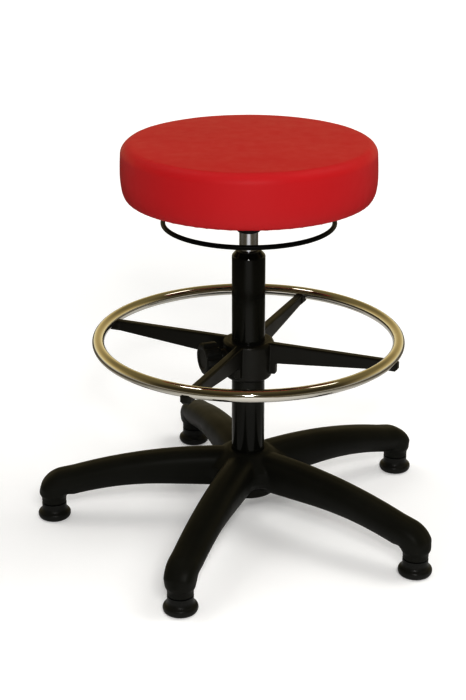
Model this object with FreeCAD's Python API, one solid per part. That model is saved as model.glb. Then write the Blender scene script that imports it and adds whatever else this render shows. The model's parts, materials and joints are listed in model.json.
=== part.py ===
"""Height-adjustable swivel stool: round padded seat, gas lift, release ring, footring and a
five-armed base on fixed glides.

Millimetres. Origin on the floor under the column's axis, +Z up, +Y towards the back.
Each function returns one node's solid, and main() writes them to parts/NODE.step.
"""
import FreeCAD, Part
import math
import os

V = FreeCAD.Vector
Z = V(0, 0, 1)

# ---- driving dimensions -------------------------------------------------------------
RUN = 0.05                      # radial running clearance of shafts and bushes
GAP = 0.3                       # clearance between bodies that move past each other

# base
ARM_COUNT = 5
ARM_FIRST_DEG = 36              # azimuth of the first arm
GLIDE_R = 304                   # glide centres from the column's axis
ARM_HALF_ROOT = 26              # arm half width at the hub
ARM_HALF_TIP = 24.2             # arm half width where it turns down
ARM_END_HALF = 22.2             # and where it meets the glide's neck
ARM_CREST_Z = 119.3             # arm's crest beside the hub
ARM_CREST_R = 820               # radius of the long arc along the crest
ARM_CREST_START = 40            # where that arc starts, from the axis
ARM_KEEL_Z = 62.5               # underside beside the hub
ARM_KEEL_R = 530                # radius of the arc along the underside
ARM_KEEL_START = 128            # where that arc starts
ARM_ELBOW_R = 283.5             # inner corner of the arm's end, radius and height
ARM_ELBOW_Z = 43
ARM_STATIONS = (22, 62, 100, 148, 196, 244, 272)
ARM_WALL = 5                    # wall of the hollow arm
SLOT_HALF = 10.5                # open slot under the arm
RIB = 3                         # rib thickness inside the arms
CROSS_RIB_RS = range(85, 270, 45)
WEB_HALF = 23.5                 # half width of the web that fills the corner between two arms
WEB_CORNER_R = 27               # its concave corner
WEB_R = 96
WEB_LOW_Z = 72
WEB_HIGH_Z = 107
HUB_R = 44                      # hub skirt
HUB_CORE_R = 32
HUB_BOTTOM_Z = 52.5
HUB_TOP_Z = 121.5
SLEEVE_TOP_Z = 116.5            # steel sleeve inside the hub

# glides
FOOT_R = 25.2
NECK_R = 19
NECK_TOP_Z = 26
STEM_R = 5.5
STEM_TOP_Z = 62

# column and gas lift
COLUMN_R = 25
COLUMN_WALL = 2.5
COLUMN_TOP_Z = 440
COLUMN_LIP_R = 18.6
COLUMN_SHOULDER = 7             # height of the coned shoulder at the column's top
COLUMN_FOOT_Z = 47
COLUMN_FOOT_R = 23.9            # column's radius at the narrow end of its taper
COLUMN_EDGE = 1                 # bevel around its foot
COLUMN_FLOOR_T = 3              # thickness of the floor that carries the bearing
BUSH_LOW_Z = 352                # nylon bush that guides the gas cylinder
BUSH_STEP = 10                  # its step, under the column's lip
BUSH_PROUD = 0.8
LIFT_R = 14
LIFT_BORE_R = 11.5
LIFT_BOTTOM_Z = 72
LIFT_TOP_Z = 511
LIFT_TAPER_Z = 469.5            # bottom of the taper that holds the seat
LIFT_TAPER_R = 13.2
ROD_R = 5
PISTON_Z = 372
VALVE_R = 3
RACE_R = 19                     # thrust bearing between the column's floor and the buffer
RACE_T = 1.5
BALL_R = 1.5
BALL_COUNT = 10
BALL_RING_R = 12.5
BEARING_Z = 50                  # underside of the bearing, on the column's floor
PISTON_T = 12

# footring
RING_R = 225.7                  # footring tube's centre line
RING_TUBE_R = 9.05
RING_TUBE_WALL = 1.5
RING_Z = 301.8
SPOKE_COUNT = 4
SPOKE_FIRST_DEG = 68
SPOKE_TOP_Z = 300
SPOKE_HALF = 6.3                # half width along the top
SPOKE_HALF_LOW = 4.6            # half width along the bottom
SPOKE_LOW_IN_Z = 268            # bottom of a spoke at the hub and at the footring
SPOKE_LOW_OUT_Z = 285.5
LUG_R = 45                      # gusset where a spoke meets the hub
LUG_Z = 250.5
SPIDER_R = 38.6                 # hub radius at the top
SPIDER_LOW_R = 35.4             # and at the bottom
SPIDER_BOTTOM_Z = 242
SPIDER_BORE_R = 27
SADDLE_HALF = 8
SADDLE_IN_R = 212
SADDLE_OUT_R = 235.5
SADDLE_LOW_Z = 284.5
SCREW_SEAT_Z = 287.5            # under the heads of the screws that hold the tube
KNOB_DEG = 203                  # direction of the clamp screw
KNOB_Z = 278.5
KNOB_R = 24.8
KNOB_IN = 47                    # knob's faces, from the column's axis
KNOB_OUT = 75
KNOB_LOBES = 8
INSERT_R = 6.5                  # brass thread insert, from INSERT_IN to the boss's face
INSERT_IN = 34
STUD_R = 4                      # M8 clamp stud and its turned-down tip
STUD_TIP_R = 2.5
BOSS_R = 11
BOSS_IN = 33

# seat and release ring
SEAT_R = 187
SEAT_BOTTOM_Z = 523.5
SEAT_SIDE_TOP_Z = 588
SEAT_CROWN_Z = 606
SEAT_SHOULDER_R = 16
COVER_T = 1.2
HEM_R = 148                     # inner edge of the cover, stapled under the board
STAPLE_R = 155
STAPLE_COUNT = 24
STAPLE_T = 0.7
DUST_OUT_R, DUST_IN_R = 166, 137
DUST_T = 0.7
BOARD_R = 171
BOARD_Z = 525
BOARD_T = 12
PLATE_HALF = 95
PLATE_T = 3
BOLT_AT = 80                    # plate bolts, from the axis along X and along Y
BOLT_R = 4
SOCKET_R = 17.5                 # taper socket and the dish that carries it
DISH_Z = 500
HANDLE_R = 126                  # release ring's centre line
HANDLE_ROD_R = 3.5
HANDLE_Z = 484
HANDLE_ARM_DEGS = (15, 90, 165)
HANDLE_ARM_R = 3                # radius of the arms' rod
HANDLE_ARM_IN = 16.5            # arms start outside the gas cylinder and bend down here
HANDLE_ARM_BEND = 48
ROCKER_R = 24
ROCKER_TOP_Z = 521.2
ROCKER_T = 4


# ---- helpers ------------------------------------------------------------------------
def polar(r, deg, z=0.0):
    """Point at radius r and azimuth deg about the column's axis."""
    return V(r * math.cos(math.radians(deg)), r * math.sin(math.radians(deg)), z)


def turned(shape, deg):
    """Copy of shape turned about the column's axis."""
    copy = shape.copy()
    copy.rotate(V(), Z, deg)
    return copy


def cyl(r, z0, z1, x=0.0, y=0.0):
    return Part.makeCylinder(r, z1 - z0, V(x, y, z0))


def tube(r_out, r_in, z0, z1, x=0.0, y=0.0):
    return cyl(r_out, z0, z1, x, y).cut(cyl(r_in, z0 - 1, z1 + 1, x, y))


def block(x0, x1, y0, y1, z0, z1):
    return Part.makeBox(x1 - x0, y1 - y0, z1 - z0, V(x0, y0, z0))


def arc(a, b, c):
    return Part.Arc(V(*a), V(*b), V(*c)).toShape()


def line(a, b):
    return Part.LineSegment(V(*a), V(*b)).toShape()


def revolve(points):
    """Solid of revolution about Z from (r, z) points; a triple (r, z, 'arc') is the middle of an arc."""
    edges = []
    start = points[0][:2]
    middle = None
    for point in list(points[1:]) + [points[0]]:
        if len(point) == 3:
            middle = point[:2]
            continue
        a = (start[0], 0, start[1])
        b = (point[0], 0, point[1])
        if middle is not None:
            edges.append(arc(a, (middle[0], 0, middle[1]), b))
        elif a != b:
            edges.append(line(a, b))
        start = point[:2]
        middle = None
    return Part.Face(Part.Wire(edges)).revolve(V(), Z, 360)


def along(shape, deg, r=0.0, z=0.0):
    """Lays a shape made about +Z along the radial direction deg, starting r out at height z."""
    copy = shape.copy()
    copy.rotate(V(), V(0, 1, 0), 90)
    copy.translate(V(r, 0, z))
    return turned(copy, deg)


def prism(wire_edges, z0, z1):
    face = Part.Face(Part.Wire(wire_edges))
    face.translate(V(0, 0, z0))
    return face.extrude(V(0, 0, z1 - z0))


def hexagon(across, z0, z1, x=0.0, y=0.0):
    corners = [polar(across / math.sqrt(3), 60 * i + 30) + V(x, y, z0) for i in range(7)]
    return Part.Face(Part.makePolygon(corners)).extrude(V(0, 0, z1 - z0))


def group(shapes):
    return Part.makeCompound(shapes)


def rounded(shape, radius, chosen):
    """Fillets the edges that chosen(edge) picks."""
    return shape.makeFillet(radius, [edge for edge in shape.Edges if chosen(edge)])


def arm_degs():
    return [ARM_FIRST_DEG + i * 360 / ARM_COUNT for i in range(ARM_COUNT)]


def spoke_degs():
    return [SPOKE_FIRST_DEG + i * 360 / SPOKE_COUNT for i in range(SPOKE_COUNT)]


# ---- base ---------------------------------------------------------------------------
# half of the arm's section as (share of half width, share of height), from the keel up
SECTION_MID = ((0, 0), (0.36, 0.01), (0.58, 0.07), (0.8, 0.25), (0.94, 0.42), (1, 0.58), (0.93, 0.76),
               (0.78, 0.88), (0.56, 0.96), (0.24, 1))
SECTION_ROOT = ((0, 0), (0.4, 0), (0.7, 0.03), (0.87, 0.15), (0.96, 0.32), (1, 0.56), (0.94, 0.76),
                (0.8, 0.89), (0.57, 0.965), (0.25, 1))


def crest_z(r):
    """Height of the arm's crest at radius r."""
    past = max(0.0, r - ARM_CREST_START)
    return ARM_CREST_Z - ARM_CREST_R + math.sqrt(ARM_CREST_R ** 2 - past ** 2)


def keel_z(r):
    """Height of the arm's underside at radius r."""
    past = max(0.0, r - ARM_KEEL_START)
    return ARM_KEEL_Z - ARM_KEEL_R + math.sqrt(ARM_KEEL_R ** 2 - past ** 2)


def section_shares(root):
    """Half section between the rounder outer one (root 0) and the squarer one at the hub (root 1)."""
    return [(m[0] + (h[0] - m[0]) * root, m[1] + (h[1] - m[1]) * root)
            for m, h in zip(SECTION_MID, SECTION_ROOT)]


def section_wire(half, low, high, root, place):
    """Closed smooth wire; place(w, z) puts a section point in space."""
    shares = section_shares(root)
    near = [place(half * w, low + (high - low) * t) for w, t in shares]
    far = [place(-half * w, low + (high - low) * t) for w, t in reversed(shares[1:])]
    top = place(0, high)
    curve = Part.BSplineCurve()
    curve.interpolate(near + [top] + far, PeriodicFlag=True)
    return Part.Wire(curve.toShape())


def arm_station(r, inset):
    """Upright section at radius r."""
    along_arm = (r - ARM_STATIONS[0]) / (ARM_STATIONS[-1] - ARM_STATIONS[0])
    half = ARM_HALF_ROOT + (ARM_HALF_TIP - ARM_HALF_ROOT) * along_arm - inset
    root = max(0.0, 1 - r / 200)
    return section_wire(half, keel_z(r) + inset, crest_z(r) - inset, root, lambda w, z: V(r, w, z))


def elbow_station(lean, depth, half, root):
    """Section through the inner corner, leaning lean degrees outwards."""
    out, up = math.sin(math.radians(lean)), math.cos(math.radians(lean))
    return section_wire(half, 0, depth, root,
                        lambda w, d: V(ARM_ELBOW_R + d * out, w, ARM_ELBOW_Z + d * up))


def neck_wire(z, radius):
    """Level circle about the glide, started on its inner side as the arm's sections are."""
    steps = 2 * len(SECTION_MID)
    curve = Part.BSplineCurve()
    curve.interpolate([V(GLIDE_R, 0, z) - polar(radius, -360 * i / steps) for i in range(steps)],
                      PeriodicFlag=True)
    return Part.Wire(curve.toShape())


def arm_body():
    """One arm along +X, from inside the hub to the glide's neck."""
    wires = [arm_station(r, 0) for r in ARM_STATIONS]
    wires += [elbow_station(25, 39, 24, 0.3), elbow_station(50, 40.5, 23.5, 0.7),
              elbow_station(72, 42, 23, 1)]
    wires += [neck_wire(ARM_ELBOW_Z, ARM_END_HALF), neck_wire(37, NECK_R + 0.8),
              neck_wire(33, NECK_R), neck_wire(NECK_TOP_Z, NECK_R)]
    return Part.makeLoft(wires, True, False)


def arm_hollow():
    """What is taken out of one arm along +X: the inside, a slot under it, less the ribs."""
    inside = Part.makeLoft([arm_station(r, ARM_WALL) for r in ARM_STATIONS], True, False)
    slot = block(HUB_R, ARM_STATIONS[-1], -SLOT_HALF, SLOT_HALF, 0, 80)
    slot = slot.common(cyl(ARM_STATIONS[-1], 0, 90))
    hollow = inside.fuse(slot).cut(cyl(HUB_R, 0, 140))
    hollow = hollow.cut(cyl(NECK_R, 0, 140, GLIDE_R, 0))
    hollow = hollow.cut(block(0, GLIDE_R, -RIB / 2, RIB / 2, 0, 140))
    for r in CROSS_RIB_RS:
        hollow = hollow.cut(block(r - RIB / 2, r + RIB / 2, -40, 40, 0, 140))
    return hollow


def web_outline():
    """Edges, in plan, of the web between the arms: straight along each arm, concave between two."""
    half_angle = math.pi / ARM_COUNT
    reach = (WEB_HALF + WEB_CORNER_R) / math.sin(half_angle)
    centre = V(reach * math.cos(half_angle), reach * math.sin(half_angle), 0)
    touch = centre - V(0, WEB_CORNER_R, 0)
    nearest = centre * ((reach - WEB_CORNER_R) / reach)
    edges = []
    for deg in arm_degs():
        here = FreeCAD.Rotation(Z, deg)
        following = FreeCAD.Rotation(Z, deg + 360 / ARM_COUNT)
        end_low, end_high = here * V(WEB_R, -WEB_HALF, 0), here * V(WEB_R, WEB_HALF, 0)
        edges.append(Part.LineSegment(here * V(touch.x, -touch.y, 0), end_low).toShape())
        edges.append(Part.LineSegment(end_low, end_high).toShape())
        edges.append(Part.LineSegment(end_high, here * touch).toShape())
        edges.append(Part.Arc(here * touch, here * nearest,
                              following * V(touch.x, -touch.y, 0)).toShape())
    return edges


def star_base():
    web = prism(web_outline(), WEB_LOW_Z, WEB_HIGH_Z)
    skirt = revolve([(0, HUB_BOTTOM_Z), (HUB_R - 2, HUB_BOTTOM_Z), (HUB_R, HUB_BOTTOM_Z + 2),
                     (HUB_R, 100), (0, 100)])
    collar = revolve([(0, 100), (HUB_CORE_R + 3, 100), (HUB_CORE_R + 3, HUB_TOP_Z - 4),
                      (HUB_CORE_R, HUB_TOP_Z), (0, HUB_TOP_Z)])
    arm = arm_body()
    hollow = arm_hollow()
    base = web.fuse([turned(arm, deg) for deg in arm_degs()] + [skirt, collar])
    for deg in arm_degs():
        base = base.cut(turned(hollow, deg))
    groove = tube(HUB_R - 4.5, HUB_CORE_R, HUB_BOTTOM_Z - 5, 104)
    for deg in arm_degs():
        groove = groove.cut(turned(block(0, HUB_R, -RIB / 2, RIB / 2, 0, 140), deg))
    base = base.cut(groove)
    for deg in arm_degs():
        boss = polar(GLIDE_R, deg)
        base = base.cut(cyl(STEM_R, 0, STEM_TOP_Z, boss.x, boss.y))
    return base.cut(sleeve_blank())


def column_radius(z):
    """Column's outer radius: a shallow taper inside the hub, straight above it."""
    taper_low = COLUMN_FOOT_Z + COLUMN_EDGE
    share = (z - taper_low) / (HUB_TOP_Z - taper_low)
    return min(COLUMN_R, COLUMN_FOOT_R + (COLUMN_R - COLUMN_FOOT_R) * share)


def sleeve_blank():
    """Room for the hub sleeve, and for the column above and below it."""
    return cyl(COLUMN_R + 4, HUB_BOTTOM_Z + 2, SLEEVE_TOP_Z).fuse(
        [cyl(COLUMN_FOOT_R + 1, HUB_BOTTOM_Z - 5, HUB_BOTTOM_Z + 3),
         cyl(COLUMN_R + 0.4, SLEEVE_TOP_Z - 1, HUB_TOP_Z + 1)])


def hub_sleeve():
    z0, z1 = HUB_BOTTOM_Z + 2, SLEEVE_TOP_Z
    return revolve([(column_radius(z0), z0), (COLUMN_R + 4, z0), (COLUMN_R + 4, z1),
                    (column_radius(z1), z1)])


def glide(deg):
    at = polar(GLIDE_R, deg)
    body = revolve([(0, 0), (FOOT_R - 5.5, 0), (FOOT_R - 1.2, 3, "arc"), (FOOT_R, 7.5),
                    (FOOT_R - 1, 11.2, "arc"), (FOOT_R - 3.4, 13.2),
                    (NECK_R + 0.9, 15.6, "arc"), (NECK_R, 20), (NECK_R, NECK_TOP_Z), (0, NECK_TOP_Z)])
    body = body.cut(cyl(STEM_R, 12, NECK_TOP_Z + 1))
    body.translate(at)
    return body


def grip_r():
    return STEM_R - 0.8


def glide_stems():
    stem = cyl(STEM_R, 12, STEM_TOP_Z - 4)
    stem = stem.cut(tube(STEM_R + 1, grip_r(), 48, 52))
    return group([moved(stem, polar(GLIDE_R, deg)) for deg in arm_degs()])


def grip_rings():
    ring = tube(STEM_R, grip_r(), 48, 52).cut(block(0, 20, -1, 1, 40, 60))
    return group([moved(ring, polar(GLIDE_R, deg)) for deg in arm_degs()])


def moved(shape, offset):
    copy = shape.copy()
    copy.translate(offset)
    return copy


# ---- column and gas lift ------------------------------------------------------------
def column_tube():
    inner = COLUMN_R - COLUMN_WALL
    top = COLUMN_TOP_Z
    shoulder = top - COLUMN_SHOULDER
    foot_top = COLUMN_FOOT_Z + COLUMN_FLOOR_T
    return revolve([
        (ROD_R + 0.8, COLUMN_FOOT_Z), (COLUMN_FOOT_R - COLUMN_EDGE, COLUMN_FOOT_Z),
        (COLUMN_FOOT_R, COLUMN_FOOT_Z + COLUMN_EDGE), (COLUMN_R, HUB_TOP_Z), (COLUMN_R, shoulder - 1),
        (COLUMN_R - 0.8, shoulder + 1), (COLUMN_LIP_R + 0.8, top - 0.6), (COLUMN_LIP_R, top),
        (COLUMN_LIP_R, top - COLUMN_WALL), (inner, shoulder - 1), (inner, HUB_TOP_Z),
        (COLUMN_FOOT_R - COLUMN_WALL, foot_top), (ROD_R + 0.8, foot_top)])


def guide_bushing():
    inner = COLUMN_R - COLUMN_WALL
    step = COLUMN_TOP_Z - BUSH_STEP
    top = COLUMN_TOP_Z + BUSH_PROUD
    return revolve([(LIFT_R + RUN, BUSH_LOW_Z), (inner, BUSH_LOW_Z), (inner, step), (COLUMN_LIP_R, step),
                    (COLUMN_LIP_R, top), (LIFT_R + RUN, top)])


def bearing_race_lower():
    return tube(RACE_R, ROD_R + 2, BEARING_Z, BEARING_Z + RACE_T)


def ball_centres():
    z = BEARING_Z + RACE_T + BALL_R
    return [polar(BALL_RING_R, 360 / BALL_COUNT * i, z) for i in range(BALL_COUNT)]


def thrust_balls():
    return group([Part.makeSphere(BALL_R, centre) for centre in ball_centres()])


def ball_cage():
    middle = BEARING_Z + RACE_T + BALL_R
    cage = tube(BALL_RING_R + 4, BALL_RING_R - 4, middle - 0.5, middle + 0.5)
    for hole in ball_centres():
        cage = cage.cut(cyl(BALL_R + 0.1, middle - 2, middle + 2, hole.x, hole.y))
    return cage


def race_upper_z():
    """Lower face of the upper race, which clears the balls by GAP."""
    return BEARING_Z + RACE_T + 2 * BALL_R + GAP


def bearing_race_upper():
    return tube(RACE_R, ROD_R, race_upper_z(), race_upper_z() + RACE_T)


def rubber_buffer():
    z0 = race_upper_z() + RACE_T
    return revolve([(ROD_R, z0), (15, z0), (13, (z0 + LIFT_BOTTOM_Z) / 2, "arc"),
                    (15, LIFT_BOTTOM_Z - GAP - 0.1), (ROD_R, LIFT_BOTTOM_Z - GAP - 0.1)])


def rod_groove(r_out, r_in):
    return tube(r_out, r_in, COLUMN_FOOT_Z - 2.5, COLUMN_FOOT_Z - 1.3)


def piston_rod():
    rod = cyl(ROD_R, COLUMN_FOOT_Z - 5, PISTON_Z + PISTON_T)
    return rod.cut(rod_groove(ROD_R + 1, ROD_R - 0.8))


def rod_washer():
    return tube(9, ROD_R, COLUMN_FOOT_Z - 1.3, COLUMN_FOOT_Z - GAP)


def rod_clip():
    return rod_groove(ROD_R + 3.2, ROD_R - 0.8).cut(block(0, 20, -3, 3, 30, 60))


def piston():
    return tube(LIFT_BORE_R - RUN, ROD_R, PISTON_Z, PISTON_Z + PISTON_T)


def gas_cylinder():
    top_solid = LIFT_TOP_Z - 24
    body = revolve([
        (8, LIFT_BOTTOM_Z), (LIFT_R - 1, LIFT_BOTTOM_Z), (LIFT_R, LIFT_BOTTOM_Z + 1),
        (LIFT_R, LIFT_TAPER_Z), (LIFT_TAPER_R, LIFT_TOP_Z - 2), (LIFT_TAPER_R - 1, LIFT_TOP_Z),
        (VALVE_R + RUN, LIFT_TOP_Z), (VALVE_R + RUN, top_solid), (LIFT_BORE_R, top_solid),
        (LIFT_BORE_R, LIFT_BOTTOM_Z + 1.5), (8, LIFT_BOTTOM_Z + 1.5)])
    return body


def rod_guide():
    return tube(LIFT_BORE_R, ROD_R + RUN, LIFT_BOTTOM_Z + 1.5, LIFT_BOTTOM_Z + 20)


def rod_seal():
    return tube(LIFT_BORE_R, ROD_R + RUN, LIFT_BOTTOM_Z + 20, LIFT_BOTTOM_Z + 25)


def valve_pin():
    top = ROCKER_TOP_Z - ROCKER_T - GAP
    bottom = LIFT_TOP_Z - 20
    return revolve([(0, bottom), (VALVE_R, bottom), (VALVE_R, top - 0.8), (VALVE_R - 0.8, top),
                    (0, top)])


# ---- footring -----------------------------------------------------------------------
def tube_screw_hole(radius, z0, z1):
    at = polar(RING_R, 0)
    return cyl(radius, z0, z1, at.x, at.y)


def footring_tube():
    ring = Part.makeTorus(RING_R, RING_TUBE_R, V(0, 0, RING_Z))
    ring = ring.cut(Part.makeTorus(RING_R, RING_TUBE_R - RING_TUBE_WALL, V(0, 0, RING_Z)))
    for deg in spoke_degs():
        ring = ring.cut(turned(tube_screw_hole(2.5, 280, RING_Z), deg))
    return ring


def spoke():
    """One spoke along +X with its saddle block under the footring."""
    start, end = SPIDER_BORE_R + 3, SADDLE_OUT_R - 8
    side = [V(start, 0, SPOKE_TOP_Z), V(end, 0, SPOKE_TOP_Z), V(end, 0, SPOKE_LOW_OUT_Z),
            V(LUG_R, 0, SPOKE_LOW_IN_Z), V(LUG_R, 0, LUG_Z), V(start, 0, LUG_Z)]
    rib = Part.Face(Part.makePolygon(side + side[:1])).extrude(V(0, 2 * SPOKE_HALF, 0))
    rib.translate(V(0, -SPOKE_HALF, 0))
    section = [V(0, -SPOKE_HALF_LOW, LUG_Z - 1), V(0, SPOKE_HALF_LOW, LUG_Z - 1),
               V(0, SPOKE_HALF, SPOKE_TOP_Z), V(0, -SPOKE_HALF, SPOKE_TOP_Z)]
    draft = Part.Face(Part.makePolygon(section + section[:1])).extrude(V(end + 1, 0, 0))
    rib = rounded(rib.common(draft), 1.5, lambda edge: edge.BoundBox.XLength > 100)
    saddle = block(SADDLE_IN_R, SADDLE_OUT_R, -SADDLE_HALF, SADDLE_HALF, SADDLE_LOW_Z, SPOKE_TOP_Z)
    saddle = rounded(saddle, 3, lambda edge: edge.BoundBox.ZLength > 10 or
                     (edge.BoundBox.YLength > 10 and edge.BoundBox.ZMax < SADDLE_LOW_Z + 1))
    return rib.fuse(saddle)


def footring_spider():
    hub = revolve([
        (SPIDER_BORE_R, SPIDER_BOTTOM_Z), (SPIDER_BORE_R, SPOKE_TOP_Z - 2),
        (SPIDER_BORE_R + 3.4, SPOKE_TOP_Z - 2), (SPIDER_BORE_R + 3.4, SPOKE_TOP_Z),
        (SPIDER_R - 4, SPOKE_TOP_Z), (SPIDER_R - 1.2, SPOKE_TOP_Z - 1.2, "arc"),
        (SPIDER_R, SPOKE_TOP_Z - 4), (SPIDER_LOW_R, SPIDER_BOTTOM_Z + 2.5),
        (SPIDER_LOW_R - 2.5, SPIDER_BOTTOM_Z)])
    spider = hub
    for deg in spoke_degs():
        spider = spider.fuse(turned(spoke(), deg))
    spider = spider.fuse(along(cyl(BOSS_R, 0, KNOB_IN - 0.5 - BOSS_IN), KNOB_DEG, BOSS_IN, KNOB_Z))
    spider = spider.cut(cyl(SPIDER_BORE_R, 200, 320))
    spider = spider.cut(cyl(SPIDER_BORE_R + 3.4, SPOKE_TOP_Z - 2, 320))
    spider = spider.cut(along(cyl(INSERT_R, 0, 14), KNOB_DEG, INSERT_IN, KNOB_Z))
    spider = spider.cut(along(cyl(STUD_R + 0.5, 0, 40), KNOB_DEG, 20, KNOB_Z))
    spider = spider.cut(Part.makeTorus(RING_R, RING_TUBE_R + 0.1, V(0, 0, RING_Z)))
    for deg in spoke_degs():
        spider = spider.cut(turned(tube_screw_hole(2.5, 270, 300), deg))
        spider = spider.cut(turned(tube_screw_hole(5, 270, SCREW_SEAT_Z), deg))
    return spider.removeSplitter()


def footring_screws():
    head = SCREW_SEAT_Z - 2.6
    screw = tube_screw_hole(2.5, SCREW_SEAT_Z, 297).fuse(tube_screw_hole(4.8, head, SCREW_SEAT_Z))
    screw = screw.cut(block(RING_R - 3, RING_R + 3, -0.6, 0.6, head - 1, head + 1.4))
    screw = screw.cut(block(RING_R - 0.6, RING_R + 0.6, -3, 3, head - 1, head + 1.4))
    return group([turned(screw, deg) for deg in spoke_degs()])


def height_sleeve():
    """Nylon sleeve between the column and the spider, slit so that the clamp screw can close it."""
    sleeve = revolve([
        (COLUMN_R + RUN, SPIDER_BOTTOM_Z + 1), (SPIDER_BORE_R - RUN, SPIDER_BOTTOM_Z + 1),
        (SPIDER_BORE_R - RUN, SPOKE_TOP_Z - 2 + GAP), (SPIDER_BORE_R + 3.1, SPOKE_TOP_Z - 2 + GAP),
        (SPIDER_BORE_R + 3.1, SPOKE_TOP_Z), (COLUMN_R + RUN, SPOKE_TOP_Z)])
    slit = turned(block(20, 40, -1, 1, 200, 320), 113)
    return sleeve.cut(slit)


def thread_insert():
    return along(tube(INSERT_R, STUD_R + RUN, 0, KNOB_IN - 0.6 - INSERT_IN), KNOB_DEG, INSERT_IN, KNOB_Z)


def clamp_pad():
    pad = cyl(STUD_R - 0.1, 0, 4.5).cut(cyl(STUD_TIP_R + RUN, 2, 5))
    return along(pad, KNOB_DEG, SPIDER_BORE_R + 0.25, KNOB_Z)


def clamp_stud():
    tip = SPIDER_BORE_R + 0.25 + 2 + GAP
    stud = cyl(STUD_TIP_R, 0, 3).fuse(cyl(STUD_R, 2.6, KNOB_OUT - 8 - tip))
    return along(stud, KNOB_DEG, tip, KNOB_Z)


def clamp_knob():
    depth = KNOB_OUT - KNOB_IN
    knob = cyl(KNOB_R, 6, depth)
    for i in range(KNOB_LOBES):
        groove = polar(KNOB_R + 3, 360 / KNOB_LOBES * (i + 0.5))
        knob = knob.cut(cyl(6, 0, depth + 1, groove.x, groove.y))
    knob = knob.common(revolve([(0, 5), (KNOB_R - 2, 5), (KNOB_R, 7), (KNOB_R, depth - 4),
                                (KNOB_R - 1.2, depth - 1.2, "arc"), (KNOB_R - 4, depth),
                                (0, depth)]))
    knob = knob.fuse(cyl(BOSS_R, 0, 8)).cut(cyl(STUD_R, -1, depth - 8))
    knob = knob.cut(cyl(15, depth - 1.2, depth + 1))
    return along(knob, KNOB_DEG, KNOB_IN, KNOB_Z)


# ---- release ring -------------------------------------------------------------------
def rod_between(a, b, radius):
    run = b - a
    return Part.makeCylinder(radius, run.Length, a, run)


def release_ring():
    ring = Part.makeTorus(HANDLE_R, HANDLE_ROD_R, V(0, 0, HANDLE_Z))
    shoulder_z = ROCKER_TOP_Z - ROCKER_T - HANDLE_ARM_R
    bend = V(HANDLE_ARM_BEND, 0, shoulder_z)
    arm = rod_between(V(HANDLE_ARM_IN, 0, shoulder_z), bend, HANDLE_ARM_R)
    arm = arm.fuse(Part.makeSphere(HANDLE_ARM_R, bend))
    arm = arm.fuse(rod_between(bend, V(HANDLE_R, 0, HANDLE_Z), HANDLE_ARM_R))
    for deg in HANDLE_ARM_DEGS:
        ring = ring.fuse(turned(arm, deg))
    return ring.removeSplitter()


def rocker_plate():
    return cyl(ROCKER_R, ROCKER_TOP_Z - ROCKER_T, ROCKER_TOP_Z)


# ---- seat ---------------------------------------------------------------------------
def plate_bolt_points():
    return [V(sx * BOLT_AT, sy * BOLT_AT, 0) for sx in (-1, 1) for sy in (-1, 1)]


def seat_plate():
    low = BOARD_Z - PLATE_T
    plate = block(-PLATE_HALF, PLATE_HALF, -PLATE_HALF, PLATE_HALF, low, BOARD_Z)
    plate = rounded(plate, 14, lambda edge: edge.BoundBox.ZLength > 1 and edge.Length < 5)
    for at in plate_bolt_points():
        plate = plate.cut(cyl(BOLT_R, low - 1, BOARD_Z + 1, at.x, at.y))
    return plate


def socket_dish():
    """Pressed dish that carries the taper socket under the seat plate, with windows for the ring's arms."""
    top = BOARD_Z - PLATE_T
    dish = revolve([(SOCKET_R, DISH_Z), (35, DISH_Z), (46, top - 3), (66, top - 3), (66, top), (43.5, top),
                    (32.5, DISH_Z + 3), (SOCKET_R, DISH_Z + 3)])
    for deg in HANDLE_ARM_DEGS:
        dish = dish.cut(turned(block(28, 70, -9, 9, DISH_Z + 3, top + 1), deg))
        dish = dish.cut(turned(block(30, 70, -9, 9, DISH_Z - 1, top + 1), deg))
    return dish


def taper_socket():
    """Short tube with a tapered bore that grips the top of the gas cylinder."""
    low, high = LIFT_TAPER_Z, DISH_Z + 3
    share = (high - low) / (LIFT_TOP_Z - 2 - low)
    bore_top = LIFT_R + (LIFT_TAPER_R - LIFT_R) * share
    return revolve([(LIFT_R, low), (14.6, low), (SOCKET_R - 0.7, low + 1.2, "arc"), (SOCKET_R, low + 4),
                    (SOCKET_R, high), (bore_top, high)])


def seat_bolts():
    low = BOARD_Z - PLATE_T
    bolts = []
    for at in plate_bolt_points():
        shank = cyl(BOLT_R, low - 0.1, BOARD_Z + BOARD_T - 1, at.x, at.y)
        bolts.append(shank.fuse(hexagon(13, low - 5.5, low, at.x, at.y)))
    return group(bolts)


def tee_nut_at(at, bore):
    top = BOARD_Z + BOARD_T
    nut = cyl(5.5, top - 9, top, at.x, at.y).fuse(cyl(10, top - 1.5, top, at.x, at.y))
    return nut.cut(cyl(BOLT_R, top - 20, top + 1, at.x, at.y)) if bore else nut


def tee_nuts():
    return group([tee_nut_at(at, True) for at in plate_bolt_points()])


def seat_board():
    board = cyl(BOARD_R, BOARD_Z, BOARD_Z + BOARD_T)
    for at in plate_bolt_points():
        board = board.cut(tee_nut_at(at, False)).cut(cyl(BOLT_R, 500, 560, at.x, at.y))
    return board


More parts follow.
